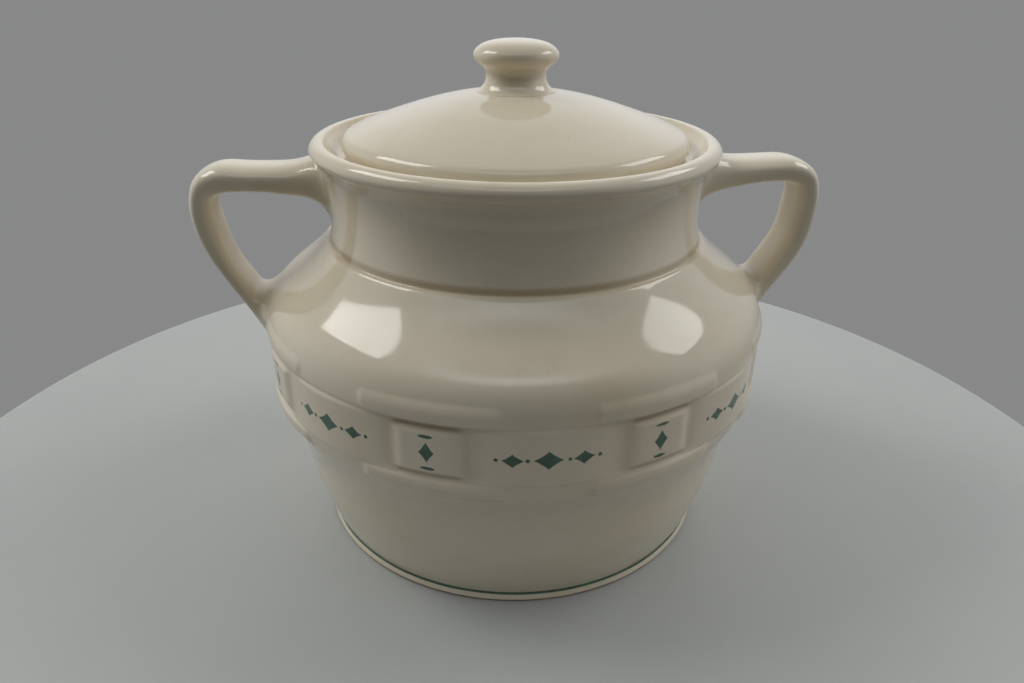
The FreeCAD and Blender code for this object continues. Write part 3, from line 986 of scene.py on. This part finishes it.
def painted(graph, place, azimuth, height):
    """The painted marks, in a row on each wide panel and stacked on each narrow one."""
    up = graph.add(graph.take(height, motif_height), graph.waver(place, 90.0, 0.9))
    wide = panel_place(graph, azimuth, 0.0)
    narrow = panel_place(graph, azimuth, half_step)
    nearest = None
    for shape, across, marks in ((lozenge, wide, wide_lozenges), (dot, wide, wide_dots),
                                 (lozenge, narrow, narrow_lozenges), (dot, narrow, narrow_dots)):
        for mark in marks:
            away = shape(graph, across, up, *mark)
            nearest = away if nearest is None else graph.least(nearest, away)
    ragged = graph.add(nearest, graph.waver(place, 420.0, 0.5, 2.0, 0.6))
    return graph.ramp(ragged, 0.14, -0.10)


def beyond(graph, radius, start):
    """1 outside that radius in millimetres and 0 inside it, over one millimetre."""
    return graph.ramp(radius, start * MM, (start + 1) * MM)


def body_glaze():
    """Weave and crease darker by pooled glaze and painted shade; the painted marks, green line and
    bare foot edge.
    """
    material, graph, place = new_graph("body_glaze")
    axes = graph.node("ShaderNodeSeparateXYZ")
    graph.link(place, axes.inputs[0])
    x, y, z = axes.outputs
    azimuth = graph.math("ARCTAN2", x, graph.times(y, -1.0))
    height = graph.times(z, 1 / MM)
    radius = graph.reach(x, y)

    # The weave's hollows painted darker: partly pooled glaze, partly painted shade
    pooled_and_shade = graph.ramp(graph.pooled_and_shade(), 0.25, 1.0, 0.0, 0.7)
    colour = graph.mix(pooled_and_shade, glaze_base(graph, place), pooled_glaze_and_shade)
    # A darker band in the crease under the neck: pooled glaze and painted shade
    off_crease = graph.size(graph.take(height, shoulder_end_height + crease_rise))
    crease = graph.ramp(off_crease, crease_reach, 0.3, 0.0, 0.8)
    crease = graph.times(crease, beyond(graph, radius, neck_radius - 3))
    colour = graph.mix(crease, colour, pooled_glaze_and_shade)

    from_handle = graph.size(graph.take(graph.size(azimuth), math.pi / 2))
    clear = graph.ramp(from_handle, math.radians(unpainted_half_angle),
                       math.radians(unpainted_half_angle + unpainted_fade))
    mark = graph.times(painted(graph, place, azimuth, height), clear)
    mark = graph.times(mark, beyond(graph, radius, valley_radius - wall))
    off_line = graph.size(graph.take(graph.add(height, graph.waver(place, 45.0, 0.5)), line_height))
    green_line = graph.ramp(off_line, *line_fade)
    green_line = graph.times(green_line, beyond(graph, radius, foot_radius - 4))
    strokes = graph.ramp(graph.noise(place, 260.0, 3.0, 0.6), 0.35, 0.75)
    paint = graph.mix(strokes, painted_green, painted_edge)
    colour = graph.mix(graph.times(graph.most(mark, green_line), paint_strength), colour, paint)

    low = graph.ramp(graph.add(height, graph.waver(place, 200.0, 0.8, 3.0, 0.6)), *bare_fade)
    recess_edge = foot_radius - foot_edge - foot_ring_width
    on_foot = graph.ramp(radius, (recess_edge - 0.8) * MM, (recess_edge - 0.2) * MM)
    bare = graph.times(low, on_foot)
    clay = graph.mix(graph.noise(place, 300.0, 4.0, 0.65), bare_clay, bare_clay_dark)
    colour = graph.mix(bare, colour, clay)
    finish_glaze(graph, place, colour, bare=bare)
    return material


def table_material():
    material, graph, place = new_graph("pale_table")
    shader = graph.surface()
    colour = graph.mix(graph.noise(place, 14.0, 4.0, 0.6), table_dark, table_light)
    graph.link(colour, shader.inputs["Base Color"])
    shader.inputs["Roughness"].default_value = table_roughness
    graph.bump(graph.noise(place, 500.0, 3.0, 0.6), 0.1, 0.2 * MM, shader)
    return material


# Stage, lights and camera

# How far the photograph's frame is turned from the jar's own
jar_turn = 6.6

# Soft lights: name, azimuth and elevation as the photograph's frame has them, roll, the angles they
# fill across and up as seen from the jar, and power
windows = [
    ("window_left", -102.5, 47.0, -54.0, 18.0, 29.0, 7.4),
    ("window_right", 110.0, 40.5, 74.0, 16.0, 31.0, 4.8),
]
window_colour = (1.0, 0.985, 0.95)
window_distance = 1.6
window_centre = Vector((0, 0, 0.12))

# The studio round the jar, as soft patches of light: azimuth and elevation of the middle, how far
# it reaches either way before it fades out, and how bright the middle is
patches = [
    (-98.0, 12.0, 50.0, 70.0, 0.95),
    (90.0, 18.0, 50.0, 60.0, 0.95),
    (178.0, 20.0, 85.0, 42.0, 0.85),
    (-68.0, 60.0, 52.0, 28.0, 0.35),
    (68.0, 60.0, 52.0, 28.0, 0.2),
    (0.0, 58.0, 90.0, 13.0, 2.0),
]
backdrop_level = 0.25
dim_level = 0.02
sky_colour = (0.985, 0.99, 1.0, 1.0)

# The photograph's viewpoint, found from the jar's outlines in it: place in millimetres, and in
# degrees the turn from the front, the tilt from straight down and the roll
camera_place = (-42.7, -368.0, 270.0)
camera_turn = -6.5
camera_tilt = 63.59
camera_roll = 0.52
camera_lens = 26.7


def stage():
    """A plain round table top, with the jar at its middle."""
    edge, inner = table_edge_round, table_radius - table_edge_round
    under = (table_radius, -table_thickness)
    side_top = (table_radius, -edge)
    rounded = (table_radius - bend * edge, -bend * edge)
    outline, spacing = joined([
        (line((0, -table_thickness), under), table_row),
        (line(under, side_top), table_side_row),
        (arc(side_top, rounded, (inner, 0)), table_edge_row),
        (line((inner, 0), (0, 0)), table_row),
    ])
    rows = rows_of(outline, spacing)
    rows[0, 0] = rows[-1, 0] = 0
    table = turned_mesh("table", turned_grid(rows, table_columns))
    table.data.materials.append(table_material())


def direction(azimuth, elevation):
    """The way to an azimuth and elevation given as the photograph's frame has them."""
    a, e = math.radians(azimuth - jar_turn), math.radians(elevation)
    return Vector((math.sin(a) * math.cos(e), -math.cos(a) * math.cos(e), math.sin(e)))


def rotation(degrees, axis):
    return Matrix.Rotation(math.radians(degrees), 4, axis)


def window(name, azimuth, elevation, roll, wide, high, power):
    """A soft light that fills the given angles, seen from the jar."""
    lamp = bpy.data.lights.new(name, "AREA")
    lamp.shape = "RECTANGLE"
    lamp.size = 2 * window_distance * math.tan(math.radians(wide / 2))
    lamp.size_y = 2 * window_distance * math.tan(math.radians(high / 2))
    lamp.energy = power
    lamp.color = window_colour
    light = bpy.data.objects.new(name, lamp)
    bpy.context.scene.collection.objects.link(light)
    aim = direction(azimuth, elevation)
    turn = aim.to_track_quat("Z", "Y").to_matrix().to_4x4() @ rotation(roll, "Z")
    light.matrix_world = Matrix.Translation(aim * window_distance + window_centre) @ turn


def from_angle(graph, angle, middle):
    """Degrees between an angle and a middle, the short way round."""
    return graph.size(graph.math("WRAP", graph.take(angle, middle), 180.0, -180.0))


def surroundings():
    """A studio lit from both sides, behind and above, with an even grey backdrop in view."""
    world = bpy.data.worlds.new("studio")
    bpy.context.scene.world = world
    world.use_nodes = True
    graph = Graph(world.node_tree)
    way = graph.node("ShaderNodeTexCoord").outputs["Generated"]
    axes = graph.node("ShaderNodeSeparateXYZ")
    graph.link(way, axes.inputs[0])
    x, y, z = axes.outputs
    azimuth = graph.math("ARCTAN2", x, graph.times(y, -1.0))
    azimuth = graph.add(graph.times(azimuth, math.degrees(1)), jar_turn)
    elevation = graph.times(graph.math("ARCSINE", z), math.degrees(1))
    strength = graph.ramp(from_angle(graph, azimuth, 180.0), 90.0, 45.0, dim_level, backdrop_level)
    for middle_azimuth, middle_elevation, wide, high, bright in patches:
        aside = graph.ramp(from_angle(graph, azimuth, middle_azimuth), wide, 0.0)
        away = graph.size(graph.take(elevation, middle_elevation))
        patch = graph.times(aside, graph.ramp(away, high, 0.0, 0.0, bright))
        strength = graph.add(strength, patch)
    in_view = graph.node("ShaderNodeLightPath").outputs["Is Camera Ray"]
    unseen = graph.times(strength, graph.take(1.0, in_view))
    strength = graph.add(unseen, graph.times(in_view, backdrop_level))
    background = graph.node("ShaderNodeBackground")
    background.inputs["Color"].default_value = sky_colour
    graph.link(strength, background.inputs["Strength"])
    output = graph.node("ShaderNodeOutputWorld")
    graph.link(background.outputs[0], output.inputs[0])


def camera():
    lens = bpy.data.cameras.new("camera")
    lens.lens = camera_lens
    lens.sensor_width = 36.0
    eye = bpy.data.objects.new("camera", lens)
    bpy.context.scene.collection.objects.link(eye)
    turn = rotation(camera_turn, "Z") @ rotation(camera_tilt, "X")
    place = Matrix.Translation(Vector(camera_place) * MM)
    eye.matrix_world = place @ turn @ rotation(camera_roll, "Z")
    bpy.context.scene.camera = eye


# The pieces

def main():
    glaze = plain_glaze()
    body, (right, left) = body_and_handles()
    lid, knob = lid_and_knob()
    body.data.materials.append(body_glaze())
    for piece in (right, left, lid, knob):
        piece.data.materials.append(glaze)
    for piece, node, carrier in ((body, "jar_body", "jar"), (right, "handle_right", "jar"),
                                 (left, "handle_left", "jar"), (lid, "lid", "lid"),
                                 (knob, "lid_knob", "lid")):
        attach(piece, carrier)
        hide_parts(node)
    stage()
    for lamp in windows:
        window(*lamp)
    surroundings()
    camera()
    bpy.context.scene.view_settings.view_transform = "Standard"


main()
